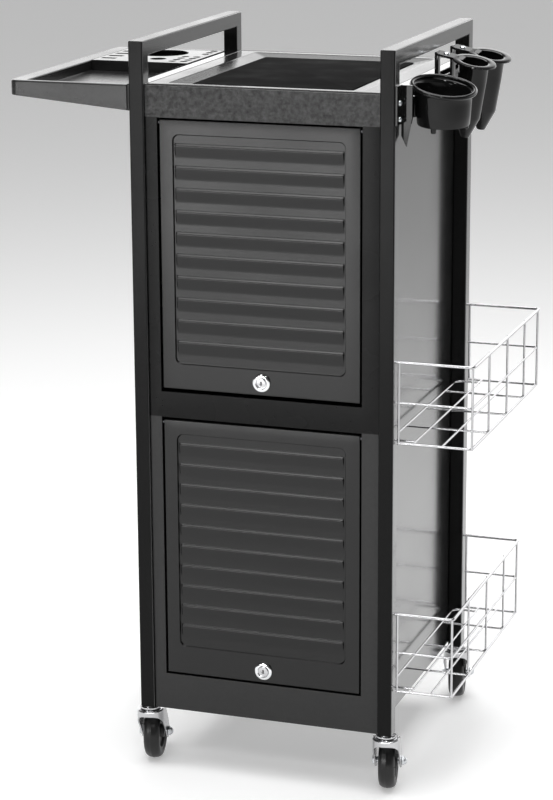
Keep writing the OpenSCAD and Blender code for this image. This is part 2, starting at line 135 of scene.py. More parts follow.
def vary(m, socket, texture, lo, hi):
    """Varies one of the shader's sockets from lo to hi with a texture."""
    m.node_tree.links.new(
        ramp(m, texture.outputs["Fac"], 0.3, 0.7, lo, hi),
        m.node_tree.nodes["Principled BSDF"].inputs[socket],
    )


def vary_colour(m, texture, dark, light):
    """Varies the base colour from dark to light with a texture."""
    mix = node(m, "ShaderNodeMix", data_type="RGBA")
    tree = m.node_tree
    for socket, colour in zip([s for s in mix.inputs if s.type == "RGBA"], (dark, light)):
        socket.default_value = (*colour, 1)
    tree.links.new(ramp(m, texture.outputs["Fac"], 0.3, 0.7, 0, 1), mix.inputs["Factor"])
    out = [s for s in mix.outputs if s.type == "RGBA"][0]
    tree.links.new(out, tree.nodes["Principled BSDF"].inputs["Base Color"])


def grey(v):
    return (v, v, v)


def paint(name, tone, roughness, grain, grain_strength, contrast=0.2, relief=0.0006, level=0.5):
    """Powder coat: a fine orange peel over a coarser grain, with uneven gloss."""
    m = new_material(name, grey(tone), roughness, level=level)
    peel, coarse, cloud = noise(m, 700, 3), noise(m, grain, 5, 0.65), noise(m, 9, 3)
    bump(m, [(coarse.outputs["Fac"], grain_strength, relief), (peel.outputs["Fac"], 0.06, 0.0003)])
    vary(m, "Roughness", cloud, roughness - 0.03, roughness + 0.04)
    vary_colour(m, coarse, grey(tone * (1 - contrast)), grey(tone * (1 + contrast)))
    return m


def metal(name, tone, roughness, scratch=0.04):
    """Plated or bare metal: fine streaks up the part, with uneven gloss."""
    m = new_material(name, tone, roughness, metallic=1.0)
    streak, cloud = noise(m, 260, 4, 0.6, (1, 1, 0.15)), noise(m, 30, 3)
    bump(m, [(streak.outputs["Fac"], scratch, 0.0002)])
    vary(m, "Roughness", cloud, roughness * 0.7, roughness * 1.5)
    return m


def plastic(name, tone, roughness, coat=0.0, texture=0.05, scale=500, level=0.5):
    """Moulded plastic or rubber: a fine skin texture, with uneven gloss and tone."""
    m = new_material(name, grey(tone), roughness, coat=coat, coat_rough=0.06, level=level)
    skin, cloud = noise(m, scale, 3), noise(m, 18, 3)
    bump(m, [(skin.outputs["Fac"], texture, 0.0003)])
    vary(m, "Roughness", cloud, roughness * 0.85, roughness * 1.2)
    vary_colour(m, cloud, grey(tone * 0.85), grey(tone * 1.15))
    return m


MATERIALS = {
    "frame_paint": paint("frame_paint", 0.012, 0.24, 260, 0.04, level=0.36),
    "panel_paint": paint("panel_paint", 0.012, 0.2, 260, 0.04, level=0.85),
    # a darker copy of the frame paint for the side tubes' front and rear faces: painted shade
    "post_paint": paint("post_paint", 0.004, 0.22, 260, 0.05, level=0.11),
    # a lighter copy of the frame paint for the face frame's header: painted light over its real grain
    "header_paint": paint("header_paint", 0.03, 0.38, 150, 1.0, contrast=1.0, relief=0.003),
    # a darker copy of the frame paint for the face frame from the middle rail up past the upper door: painted
    # shade
    "rail_shaded_paint": paint("rail_shaded_paint", 0.004, 0.26, 200, 0.06, level=0.12),
    "base_paint": paint("base_paint", 0.013, 0.32, 200, 0.08, level=0.34),
    "door_paint": paint("door_paint", 0.003, 0.23, 180, 0.06, level=0.37),
    "tray_paint": paint("tray_paint", 0.012, 0.22, 220, 0.04, level=0.36),
    "chrome": metal("chrome", (0.74, 0.75, 0.76), 0.09),
    "caster_chrome": metal("caster_chrome", (0.5, 0.5, 0.51), 0.14),
    "basket_chrome": metal("basket_chrome", (0.5, 0.5, 0.51), 0.1),
    "pin_steel": metal("pin_steel", (0.08, 0.08, 0.085), 0.35, 0.12),
    "zinc_steel": metal("zinc_steel", (0.62, 0.64, 0.66), 0.26, 0.12),
    "cup_plastic": plastic("cup_plastic", 0.004, 0.08, coat=0.25, texture=0.02, level=0.15),
    "insert_plastic": plastic("insert_plastic", 0.012, 0.18, texture=0.04),
    "matte_plastic": plastic("matte_plastic", 0.012, 0.55, texture=0.25),
    "hub_plastic": plastic("hub_plastic", 0.05, 0.42, texture=0.15),
    "mat_rubber": plastic("mat_rubber", 0.006, 0.9, texture=0.3, scale=900, level=0.02),
    "tyre_rubber": plastic("tyre_rubber", 0.008, 0.32, texture=0.1, scale=700, level=0.35),
}

panel_shader = MATERIALS["panel_paint"].node_tree.nodes["Principled BSDF"]
panel_shader.inputs["Coat Weight"].default_value = 0.6
panel_shader.inputs["Coat Roughness"].default_value = 0.12


# the words in a CAD node's name that decide its material; the first match counts
FINISHES = [
    (("fork", "stems"), "chrome"),
    (("pins",), "pin_steel"),
    (("axle", "nut", "cam", "screws"), "zinc_steel"),
    (("lock",), "chrome"),
    (("basket",), "basket_chrome"),
    (("tyre",), "tyre_rubber"),
    (("hub",), "hub_plastic"),
    (("cup", "rail"), "cup_plastic"),
    (("insert",), "insert_plastic"),
    (("plugs", "brackets"), "matte_plastic"),
    (("tray_mat",), "mat_rubber"),
    (("door",), "door_paint"),
    (("tray",), "tray_paint"),
    (("face_frame",), "header_paint"),
    (("side_panel",), "panel_paint"),
]


def finish_of(name):
    """Which material a CAD node takes."""
    for words, material in FINISHES:
        if any(word in name for word in words):
            return material
    return "frame_paint"


def dress(obj, material):
    """Gives a CAD node its one material."""
    obj.data.materials.clear()
    obj.data.materials.append(MATERIALS[material])


for name, obj in nodes.items():
    dress(obj, finish_of(name))


# ---------------------------------------------------------------- modifiers
def soften(obj, width, segments=2, angle=30):
    """Rounds the sharp edges of a mesh by a width in mm, without changing its mesh data."""
    weld = obj.modifiers.new("weld", "WELD")
    weld.merge_threshold = 1e-5
    b = obj.modifiers.new("bevel", "BEVEL")
    b.width = width / 1000
    b.segments = segments
    b.limit_method = "ANGLE"
    b.angle_limit = math.radians(angle)
    w = obj.modifiers.new("normals", "WEIGHTED_NORMAL")
    w.keep_sharp = True


def even_normals(obj):
    """Lets the large faces set the shading, so flat sheet metal looks flat up to its bends."""
    obj.modifiers.new("normals", "WEIGHTED_NORMAL").keep_sharp = True


SHEET = 1.2


def thicken(obj, mm=SHEET):
    """Gives a surface the thickness of its sheet, inwards."""
    s = obj.modifiers.new("sheet", "SOLIDIFY")
    s.thickness = mm / 1000
    s.offset = -1
    s.use_even_offset = True


# ---------------------------------------------------------------- mesh helpers, all in cabinet mm
SMOOTH = math.radians(34)


def new_piece(name, verts, faces, material, body, replaced=(), slot=None, closed=True):
    """A mesh piece from vertices in cabinet mm. replaced: the CAD nodes it stands for."""
    mesh = bpy.data.meshes.new(name)
    mesh.from_pydata([place(*v) for v in verts], [], faces)
    if closed:
        bm = bmesh.new()
        bm.from_mesh(mesh)
        bmesh.ops.remove_doubles(bm, verts=bm.verts, dist=1e-6)
        bmesh.ops.recalc_face_normals(bm, faces=bm.faces)
        bm.to_mesh(mesh)
        bm.free()
    mesh.polygons.foreach_set("use_smooth", [True] * len(mesh.polygons))
    mesh.set_sharp_from_angle(angle=SMOOTH)
    obj = bpy.data.objects.new(name, mesh)
    bpy.context.scene.collection.objects.link(obj)
    mesh.materials.append(MATERIALS[material])
    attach(obj, body)
    slot or material
    if replaced:
        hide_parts(*replaced)
    return obj


def loft(rings, cap_first=False, cap_last=False, closed=False):
    """A skin over rings of equal length; closed joins the last ring to the first."""
    n = len(rings[0])
    verts = [v for ring in rings for v in ring]
    faces = []
    for i in range(len(rings) - (0 if closed else 1)):
        a, b = i * n, (i + 1) % len(rings) * n
        faces += [(a + j, a + (j + 1) % n, b + (j + 1) % n, b + j) for j in range(n)]
    if cap_first:
        faces.append(tuple(range(n))[::-1])
    if cap_last:
        faces.append(tuple(len(verts) - n + j for j in range(n)))
    return verts, faces


def join(*parts):
    """Several (vertices, faces) parts as one."""
    verts, faces = [], []
    for v, f in parts:
        faces += [tuple(i + len(verts) for i in face) for face in f]
        verts += v
    return verts, faces


def moved(part, matrix):
    """A (vertices, faces) part, moved by a matrix."""
    return [matrix @ Vector(v) for v in part[0]], part[1]


def lathe(profile, steps=64, closed=False):
    """Turns a profile of (radius, height) about Z; an open profile gets flat ends."""
    rings = []
    for r, z in profile:
        rings.append([(r * math.cos(2 * math.pi * k / steps), r * math.sin(2 * math.pi * k / steps), z)
                      for k in range(steps)])
    return loft(rings, not closed, not closed, closed)


def plan(x0, y0, x1, y1, z, radii, steps=6):
    """A rounded rectangle seen from above.

    radii: for its corners (x1, y1), (x0, y1), (x0, y0) and (x1, y0). z is a height, or a function of x.
    """
    ring = []
    corners = ((x1, y1, -1, -1), (x0, y1, 1, -1), (x0, y0, 1, 1), (x1, y0, -1, 1))
    for k, ((cx, cy, sx, sy), r) in enumerate(zip(corners, radii)):
        for s in range(steps + 1):
            a = math.radians(90 * (k + s / steps))
            x, y = cx + sx * r + r * math.cos(a), cy + sy * r + r * math.sin(a)
            ring.append((x, y, z(x) if callable(z) else z))
    return ring


def block(lo, hi, r=0.6):
    """A box with all its edges rounded."""
    (x0, y0, z0), (x1, y1, z1) = lo, hi
    rings = []
    levels = ((z0, r), (z0 + 0.3 * r, 0.3 * r), (z0 + r, 0), (z1 - r, 0), (z1 - 0.3 * r, 0.3 * r), (z1, r))
    for z, inset in levels:
        radius = max(r - inset, 0.05) + 0.3
        rings.append(plan(x0 + inset, y0 + inset, x1 - inset, y1 - inset, z, [radius] * 4, 3))
    return loft(rings, True, True)


def tangents(lines, step):
    """Grid lines through the given values, no further apart than step."""
    out = []
    for a, b in zip(lines, lines[1:]):
        n = max(1, math.ceil((b - a) / step))
        out += [a + (b - a) * k / n for k in range(n)]
    return out + [lines[-1]]


def folded_sheet(xs, zs, y_of, y_edge, folds, cut=None):
    """A sheet on a grid of x and z lines, facing -Y.

    folds: (i0, i1, j0, j1, sign, profile), a rectangle of lines whose edge is folded back along the profile
    of (out, depth) from y_edge; sign -1 is an opening. cut(x, z) says where there is no sheet.
    """
    verts, faces, index = [], [], {}

    def vert(key, p):
        if key not in index:
            index[key] = len(verts)
            verts.append(p)
        return index[key]

    def grid(i, j):
        return vert((i, j), (xs[i], y_of(xs[i], zs[j]), zs[j]))

    openings = [f[:4] for f in folds if f[4] < 0]
    for i in range(len(xs) - 1):
        for j in range(len(zs) - 1):
            if any(i0 <= i < i1 and j0 <= j < j1 for i0, i1, j0, j1 in openings):
                continue
            if cut and cut((xs[i] + xs[i + 1]) / 2, (zs[j] + zs[j + 1]) / 2):
                continue
            faces.append((grid(i, j), grid(i + 1, j), grid(i + 1, j + 1), grid(i, j + 1)))
    for n, (i0, i1, j0, j1, sign, profile) in enumerate(folds):
        loop = [(i, j0) for i in range(i0, i1)] + [(i1, j) for j in range(j0, j1)]
        loop += [(i, j1) for i in range(i1, i0, -1)] + [(i0, j) for j in range(j1, j0, -1)]
        before = [grid(i, j) for i, j in loop]
        for k, (out, depth) in enumerate(profile):
            ring = []
            for i, j in loop:
                x = xs[i] + sign * out * ((i == i1) - (i == i0))
                z = zs[j] + sign * out * ((j == j1) - (j == j0))
                ring.append(vert((n, k, i, j), (x, y_edge + depth, z)))
            for q in range(len(loop)):
                p = (q + 1) % len(loop)
                quad = (before[p], before[q], ring[q], ring[p])
                faces.append(quad if sign > 0 else quad[::-1])
            before = ring
    return verts, faces


def interpolate(points, t):
    """The value at t on straight lines through (place, value) points, held beyond both ends."""
    for (a, u), (b, v) in zip(points, points[1:]):
        if a <= t <= b:
            return u + (v - u) * (t - a) / (b - a) if b > a else u
    return points[0][1] if t < points[0][0] else points[-1][1]


def smoothstep(t):
    """Rises smoothly from 0 to 1."""
    t = min(max(t, 0), 1)
    return t * t * (3 - 2 * t)


# ---------------------------------------------------------------- side frames
def side_frame(side):
    """A square tube turned down at both ends into the posts, with mitred corners."""
    cx = SIDES[side] * POST_X
    h, r, steps = TUBE / 2, 2.0, 4
    profile = []
    for k, (sa, sb) in enumerate(((1, 1), (-1, 1), (-1, -1), (1, -1))):
        for s in range(steps + 1):
            a = math.radians(90 * (k + s / steps))
            profile.append((sa * (h - r) + r * math.cos(a), sb * (h - r) + r * math.sin(a)))
    top = TOP_Z - h
    rings = [
        [(cx + a, -POST_Y - b, FOOT_Z) for a, b in profile],
        [(cx + a, -POST_Y - b, top + b) for a, b in profile],
        [(cx + a, POST_Y + b, top + b) for a, b in profile],
        [(cx + a, POST_Y + b, FOOT_Z) for a, b in profile],
    ]
    obj = new_piece(f"side_frame_{side}", *loft(rings, True, True), "post_paint", "frame",
                    [f"post_front_{side}", f"post_rear_{side}", f"handle_{side}"], "frame_paint")
    for material in ("panel_paint", "frame_paint"):
        obj.data.materials.append(MATERIALS[material])
    # the tube takes copies of one paint by the way its faces point: the darker copy on its front and rear
    # faces is painted shade, the glossier panel copy on its sides is painted sheen, and its top keeps the
    # frame paint
    for p in obj.data.polygons:
        p.material_index = 1 if abs(p.normal.x) > 0.7 else 2 if p.normal.z > 0.7 else 0
    soften(obj, 1.2, 3, 60)


for side in SIDES:
    side_frame(side)

# ---------------------------------------------------------------- post feet
POST_SPOTS = [(end, side, (SIDES[side] * POST_X, ENDS[end] * POST_Y, 0)) for end in ENDS for side in SIDES]
COLLAR = [(5, 73), (5, 84.6), (12.8, 84.6), (13.6, 85.1), (13.8, 86), (13.5, 87), (12.6, 87.5), (10.4, 87.6),
          (10.4, 88.3), (6, 88.3)]
PLUG_HALF = 8.9
collars = [moved(lathe(COLLAR, 48), Matrix.Translation(spot)) for _, _, spot in POST_SPOTS]
new_piece("caster_collars", *join(*collars), "caster_chrome", "frame", ["caster_stems"], "chrome")
plugs = []
for sx in SIDES.values():
    for sy in ENDS.values():
        x, y = sx * POST_X, sy * POST_Y
        lo, hi = (x - PLUG_HALF, y - PLUG_HALF, FOOT_Z - 0.4), (x + PLUG_HALF, y + PLUG_HALF, FOOT_Z + 1.2)
        plugs.append(block(lo, hi, 0.3))
new_piece("foot_plugs", *join(*plugs), "matte_plastic", "frame", ["tube_end_plugs"])

# ---------------------------------------------------------------- face frame
FRAME_LO, FRAME_HI = mm_box("face_frame")
GAP = 2.5
OPENINGS = []
for which, below, above in (("upper", 4.6, GAP), ("lower", GAP, 3.5)):
    lo, hi = mm_box(f"{which}_door")
    OPENINGS.append((lo.x - GAP, hi.x + GAP, lo.z - below, hi.z + above))
# folded edges as (out, depth): round an opening, and round the outside
BEND = [(0.2, 0.05), (0.5, 0.2), (0.65, 0.5), (0.7, 0.85), (0.7, 8)]
ROUND = [(0.25, 0.05), (0.55, 0.2), (0.75, 0.45), (0.9, 0.9), (0.9, 3)]
x_lines = [FRAME_LO.x + 1, OPENINGS[0][0] - 0.7, OPENINGS[0][1] + 0.7, FRAME_HI.x - 1]
z_lines = [FRAME_LO.z + 1, OPENINGS[1][2] - 0.7, OPENINGS[1][3] + 0.7, OPENINGS[0][2] - 0.7,
           OPENINGS[0][3] + 0.7, FRAME_HI.z - 1]
front_y = FRAME_LO.y
face_frame = new_piece(
    "face_frame_sheet",
    *folded_sheet(x_lines, z_lines, lambda x, z: front_y, front_y,
                  [(0, 3, 0, 5, 1, ROUND), (1, 2, 1, 2, -1, BEND), (1, 2, 3, 4, -1, BEND)]),
    "header_paint", "frame", ["face_frame"], "frame_paint", closed=False)
for material in ("rail_shaded_paint", "base_paint"):
    face_frame.data.materials.append(MATERIALS[material])
# the sheet takes copies of one paint by height: the lighter header copy above the upper door is painted
# light, the darker copy from the middle rail up past the upper door is painted shade, and below it the base
# keeps a rougher copy
for p in face_frame.data.polygons:
    z = p.center.z * 1000
    p.material_index = 0 if z > OPENINGS[0][3] else 1 if z > OPENINGS[1][3] - 4 else 2
thicken(face_frame)

# ---------------------------------------------------------------- doors
# the recessed field of louvres
FIELD_X = (-120.45, 112.05)
FIELD_BELOW_TOP = 18
FIELD_R = 9
FIELD_DEPTH = 2.6
WALL = 1.3

# a louvre's profile: height above its crest, share of its full depth
LOUVRE = [(-17.2, 0), (-16.5, 0), (-15.5, 0.015), (-14, 0.07), (-12.5, 0.17), (-11, 0.28), (-6, 0.64),
          (-2, 0.93), (-1, 0.985), (0, 1), (0.5, 0.93), (1.1, 0.72), (1.7, 0.47), (2.3, 0.22), (2.8, 0.06),
          (3.2, 0), (3.5, 0), (4.2, 0)]
LOUVRES = 10
LOUVRE_DEPTH = 2.4
LOUVRE_X = (FIELD_X[0] + 2.6, FIELD_X[1] - 2.6)
LOUVRE_END = 1.1
CREST_BELOW_TOP, CREST_ABOVE_BOTTOM = 15, 29

DOOR_BEND = [(0.3, 0.05), (0.65, 0.25), (0.85, 0.6), (0.9, 1.0), (0.9, 12)]
BEND_OUT = 0.9
LOCK_X = -1.5
LOCK_R = 12
LOCK_HOLE_R = 10

# how far apart the doors' grid lines are: over flat stretches, near the lock, and in the field's corners
WIDE, STEP, FINE_X, FINE_Z = 30, 2, 0.55, 0.6
CORNER = 10
LOCK_RING = [(6.1, 0.4), (7.1, 0.4), (7.3, 2.3), (8.2, 3.0), (10.2, 2.9), (11.6, 2.0), (12, 0.8), (12, 0.05),
             (9, 0.0), (9, -16), (6.1, -16)]


def inset_of(x, z, x0, x1, z0, z1, r):
    """Distance inside a rounded rectangle."""
    dx = abs(x - (x0 + x1) / 2) - (x1 - x0) / 2 + r
    dz = abs(z - (z0 + z1) / 2) - (z1 - z0) / 2 + r
    return r - math.hypot(max(dx, 0), max(dz, 0)) - min(max(dx, dz), 0)


def rounded(lines):
    """Grid lines to four decimals, so that equal ones become one."""
    return {round(v, 4) for v in lines}


for which, below, lock_up in (("upper", 33, 17), ("lower", 38, 16.5)):
    lo, hi = mm_box(f"{which}_door")
    left, right = FIELD_X
    bottom, top = lo.z + below, hi.z - FIELD_BELOW_TOP
    pitch = (top - bottom - (CREST_BELOW_TOP + CREST_ABOVE_BOTTOM)) / (LOUVRES - 1)
    crests = [top - CREST_BELOW_TOP - i * pitch for i in range(LOUVRES)]
    lock_z = lo.z + lock_up

    xs = rounded(tangents([lo.x + BEND_OUT, left - 0.5, left, left + WALL, left + CORNER, LOCK_X - LOCK_R,
                           LOCK_X + LOCK_R, right - CORNER, right - WALL, right, right + 0.5,
                           hi.x - BEND_OUT], WIDE))
    xs |= rounded(tangents([left, left + CORNER / 2, left + CORNER], FINE_X))
    xs |= rounded(tangents([right - CORNER, right - CORNER / 2, right], FINE_X))
    xs |= rounded(tangents([LOCK_X - LOCK_R, LOCK_X + LOCK_R], STEP))
    xs = sorted(xs)
    zs = rounded(tangents([lo.z + BEND_OUT, lo.z + 5, lock_z + LOCK_R, bottom - 0.5], STEP))
    zs |= rounded(tangents([bottom, bottom + CORNER], FINE_Z) + tangents([top - CORNER, top], FINE_Z))
    zs |= rounded([top + 0.5, top + 6, hi.z - BEND_OUT])
    for crest in crests:
        zs |= rounded(crest + up for up, _ in LOUVRE if bottom < crest + up < top)
    zs = sorted(zs)

    def y_of(x, z):
        edge = inset_of(x, z, *FIELD_X, bottom, top, FIELD_R)
        if edge <= 0:
            return lo.y
        bulge = sum(interpolate(LOUVRE, z - crest) for crest in crests)
        ends = smoothstep((x - LOUVRE_X[0]) / LOUVRE_END) * smoothstep((LOUVRE_X[1] - x) / LOUVRE_END)
        raised = LOUVRE_DEPTH * bulge * ends * smoothstep(edge / 3 - 0.5)
        return lo.y + FIELD_DEPTH * smoothstep(edge / WALL) - raised

    door = new_piece(
        f"{which}_door_sheet",
        *folded_sheet(xs, zs, y_of, lo.y, [(0, len(xs) - 1, 0, len(zs) - 1, 1, DOOR_BEND)],
                      lambda x, z: math.hypot(x - LOCK_X, z - lock_z) < LOCK_HOLE_R),
        "door_paint", f"{which}_door", [f"{which}_door"], closed=False)
    thicken(door)

    turn = Matrix.Translation((LOCK_X, lo.y, lock_z)) @ Matrix.Rotation(math.radians(90), 4, "X")
    new_piece(f"{which}_lock_ring", *moved(lathe(LOCK_RING, closed=True), turn), "chrome", f"{which}_door",
              [f"{which}_lock_body"])
    face_r = 5.9 if which == "upper" else 7.0
    face = lathe([(0.02, -19), (5.9, -19), (5.9, 0.3), (face_r, 0.5), (face_r, 2.6), (face_r - 0.5, 3.1),
                  (2.6, 3.35), (2.4, 2.6), (0.02, 2.6)])
    key = block((-0.8, -2.9, 1.2), (0.8, 2.9, 3.5), 0.2)
    new_piece(f"{which}_lock_core", *moved(face, turn), "caster_chrome", f"{which}_lock",
              [f"{which}_lock_plug"], "chrome")
    new_piece(f"{which}_lock_slot", *moved(key, turn), "matte_plastic", f"{which}_lock")

# ---------------------------------------------------------------- top tray and mat
_, t_hi = mm_box("top_tray")
m_lo, m_hi = mm_box("tray_mat")
WELL_X, WELL_Y = 132, 167
rim = t_hi.z
x, y, mx, my = t_hi.x, t_hi.y, m_hi.x, m_hi.y
rings = []
for dx, dy, r, z in ((x, y, 1.5, rim - 15), (x, y, 1.5, rim - 1.6), (x - 0.5, y - 0.5, 1.5, rim - 0.5),
                     (x - 1.6, y - 1.6, 1.5, rim), (WELL_X, WELL_Y, 5, rim),
                     (WELL_X - 1.6, WELL_Y - 1.6, 5, rim - 0.25), (WELL_X - 3, WELL_Y - 3, 5, rim - 0.8),
                     (mx + 2.2, my + 2.2, 5, m_lo.z + 0.8), (mx + 0.8, my + 0.8, 5, m_lo.z + 0.15),
                     (mx - 2, my - 2, 4, m_lo.z)):
    rings.append(plan(-dx, -dy, dx, dy, z, [r] * 4))
tray = new_piece("top_tray_sheet", *loft(rings, False, True), "tray_paint", "frame", ["top_tray"],
                 "frame_paint", closed=False)
thicken(tray)
even_normals(tray)
rings = []
for inset, z in ((0.3, m_lo.z + 0.05), (0.1, m_hi.z - 0.6), (0.4, m_hi.z - 0.15), (1.0, m_hi.z)):
    rings.append(plan(-mx + inset, -my + inset, mx - inset, my - inset, z, [4] * 4))
new_piece("tray_mat_pad", *loft(rings, True, True), "mat_rubber", "frame", ["tray_mat"])

# ---------------------------------------------------------------- side tray
s_lo, s_hi = mm_box("side_tray")
RIM_W = 22
x0, x1, y1, top = s_lo.x, s_hi.x, s_hi.y, s_hi.z
pan_x0, pan_x1, pan_y, pan_z = x0 + RIM_W, x1 - 1.2, y1 - 8, top - 14


def underside(x):
    """The skirt grows deeper towards the cabinet."""
    return top - 19 - 14 * (x - x0) / (x1 - x0)


rings = []
for inset, z, r in ((0, underside, 10), (0, top - 2.2, 10), (0.3, top - 1.1, 9.7), (1.0, top - 0.3, 9),
                    (2.2, top, 7.8)):
    rings.append(plan(x0 + inset, -y1 + inset, x1 - min(inset, 0.4), y1 - inset, z, [0.3, r, r, 0.3], 8))
for out, z in ((1.6, top), (0.7, top - 0.25), (0.15, top - 0.9), (0, top - 1.8), (-0.2, pan_z + 1.4),
               (-0.7, pan_z + 0.3), (-1.8, pan_z)):
    rings.append(plan(pan_x0 - out, -pan_y - out, min(pan_x1 + out, x1 - 0.5), pan_y + out, z,
                      [0.3, 3 + out, 3 + out, 0.3], 8))
pan = new_piece("side_tray_sheet", *loft(rings, False, True), "tray_paint", "frame", ["side_tray"],
                "frame_paint", closed=False)
thicken(pan)
even_normals(pan)

# ---------------------------------------------------------------- cups
def lean(at, forward, outward):
    """Moves a shape to a point, leaned by two angles in degrees."""
    return (Matrix.Translation(at) @ Matrix.Rotation(math.radians(outward), 4, "Y")
            @ Matrix.Rotation(math.radians(forward), 4, "X"))


def arc(cx, cz, r, a0, a1, steps):
    """Points on an arc between two angles in degrees."""
    return [(cx + r * math.cos(math.radians(a0 + (a1 - a0) * k / steps)),
             cz + r * math.sin(math.radians(a0 + (a1 - a0) * k / steps))) for k in range(steps + 1)]


def leaned(mesh, at, low, high, z0, z1):
    """Leans a shape by low below z0 and by high above z1, with a smooth bend between them."""
    verts, faces = mesh
    out = []
    for v in verts:
        t = smoothstep((v[2] - z0) / (z1 - z0))
        out.append(tuple(lean(at, *(a + (b - a) * t for a, b in zip(low, high))) @ Vector(v)))
    return out, faces


DRYER_AT = (223.2, -130, 940.4)
DRYER_RIM = arc(39.7, -3, 3, -200, 150, 18)
DRYER_BODY = [(39.2, -4.4), (36.8, -4.8), (35.4, -6), (34.6, -9), (33.2, -18), (31.4, -34), (30.0, -46.5),
              (28.8, -47.5), (20.2, -47.5), (20, -48), (20, -49.4), (20.4, -50), (31.2, -50), (32.6, -49.4),
              (33.2, -48), (34.2, -36), (35.6, -20), (36.6, -10), (37.1, -7), (38.4, -5.4)]
DRYER_LEANS = (5, 1.5), (9, 10)
LUG = [(2.4, -56), (3.2, -55.6), (3.5, -54.8), (3.7, -49)]
LUG_RADIUS = 28
RAIL_X = 179.9
parts = [moved(lathe(DRYER_RIM, 96, closed=True), lean(DRYER_AT, *DRYER_LEANS[1])),
         leaned(lathe(DRYER_BODY, 96, closed=True), DRYER_AT, *DRYER_LEANS, -26, -4)]
for angle in (-100, 140, 20):
    a = math.radians(angle)
    spot = Matrix.Translation((LUG_RADIUS * math.cos(a), LUG_RADIUS * math.sin(a), 0))
    parts.append(moved(lathe(LUG, 24), lean(DRYER_AT, *DRYER_LEANS[0]) @ spot))
parts.append(block((RAIL_X, -144, 900), (191, -116, 926), 1.5))
new_piece("dryer_cup_shell", *join(*parts), "cup_plastic", "frame", ["dryer_cup"])

IRON_AT = {"front": (230.9, -10, 955.8), "rear": (232.5, 65, 955.1)}
IRON_LEANS = (5, 8), (7, 12)
IRON_FLANGE = [(17.8, -0.9), (19.0, -0.2), (21, 0.0), (26.6, 0.0), (27.9, -0.35), (28.5, -1.4), (28.3, -2.5),
               (27.5, -3), (19.5, -3), (17.8, -3.2)]
IRON_TUBE = [(18.4, -0.6), (17.5, -8), (16.3, -30), (14, -74), (3, -98.6), (3, -100.4), (3.6, -101),
             (5.1, -101), (5.9, -100), (15.8, -75.6), (16.4, -73), (18.5, -30), (19.5, -8), (20.6, -2)]
EAR_EDGE = [(-3, 4), (-0.6, 4), (-0.15, 4.2), (0, 4.6)]
DOME = [(4, 0), (3.9, 0.9), (3.2, 1.7), (2.0, 2.2), (0.05, 2.4)]
for end, at in IRON_AT.items():
    rim_lean = lean(at, *IRON_LEANS[1])
    ear = loft([plan(-50.5, -9, -14, 9, z, [1, r, r, 1]) for z, r in EAR_EDGE], True, True)
    parts = [
        moved(lathe(IRON_FLANGE, 96, closed=True), rim_lean),
        moved(ear, rim_lean),
        leaned(lathe(IRON_TUBE, 96, closed=True), at, *IRON_LEANS, -30, -4),
        block((RAIL_X, at[1] - 9, 898), (183, at[1] + 9, at[2] + 10.6), 0.8),
    ]
    new_piece(f"iron_cup_{end}_shell", *join(*parts), "cup_plastic", "frame", [f"iron_cup_{end}"])
    new_piece(f"iron_cup_{end}_screw", *moved(lathe(DOME, 32), rim_lean @ Matrix.Translation((-38, 0, 0))),
              "zinc_steel", "frame")

# ---------------------------------------------------------------- screws
HEAD = [(3.5, -0.2), (3.5, 0.6), (3.1, 1.5), (2.2, 2.1), (1.5, 2.3), (1.4, 1.3), (0.05, 1.3)]
heads = []
for side, x, zs in ((1, 180, (902, 922)), (-1, -181.2, (903, 912))):
    for end in ENDS.values():
        for z in zs:
            at = Matrix.Translation((x, end * POST_Y, z)) @ Matrix.Rotation(math.radians(90 * side), 4, "Y")
            heads.append(moved(lathe(HEAD, 24), at))
new_piece("screw_heads", *join(*heads), "zinc_steel", "frame", ["panel_screws"])


# ---------------------------------------------------------------- baskets
def wire_path(points, corner):
    """Rounds each inner corner of a path of points to a radius."""
    pts = [Vector(p) for p in points]
    out = [pts[0]]
    for a, b, c in zip(pts, pts[1:], pts[2:]):
        u, v = (a - b).normalized(), (c - b).normalized()
        centre = b + (u + v) * corner
        for k in range(9):
            t = math.radians(90 * k / 8)
            out.append(centre - v * corner * math.cos(t) - u * corner * math.sin(t))
    return out + [pts[-1]]


def wires(name, paths, body, replaced):
    """One piece of round wires. paths: (points, radius) in cabinet mm."""
    curve = bpy.data.curves.new(name, "CURVE")
    curve.dimensions = "3D"
    curve.bevel_depth = 0.001
    curve.bevel_resolution = 4
    curve.use_fill_caps = True
    for points, radius in paths:
        s = curve.splines.new("POLY")
        s.points.add(len(points) - 1)
        for p, q in zip(s.points, points):
            p.co = (*place(*q), 1)
            p.radius = radius
        s.use_smooth = True
    obj = bpy.data.objects.new(name, curve)
    bpy.context.scene.collection.objects.link(obj)
    curve.materials.append(MATERIALS["basket_chrome"])
    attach(obj, body)
    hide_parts(*replaced)


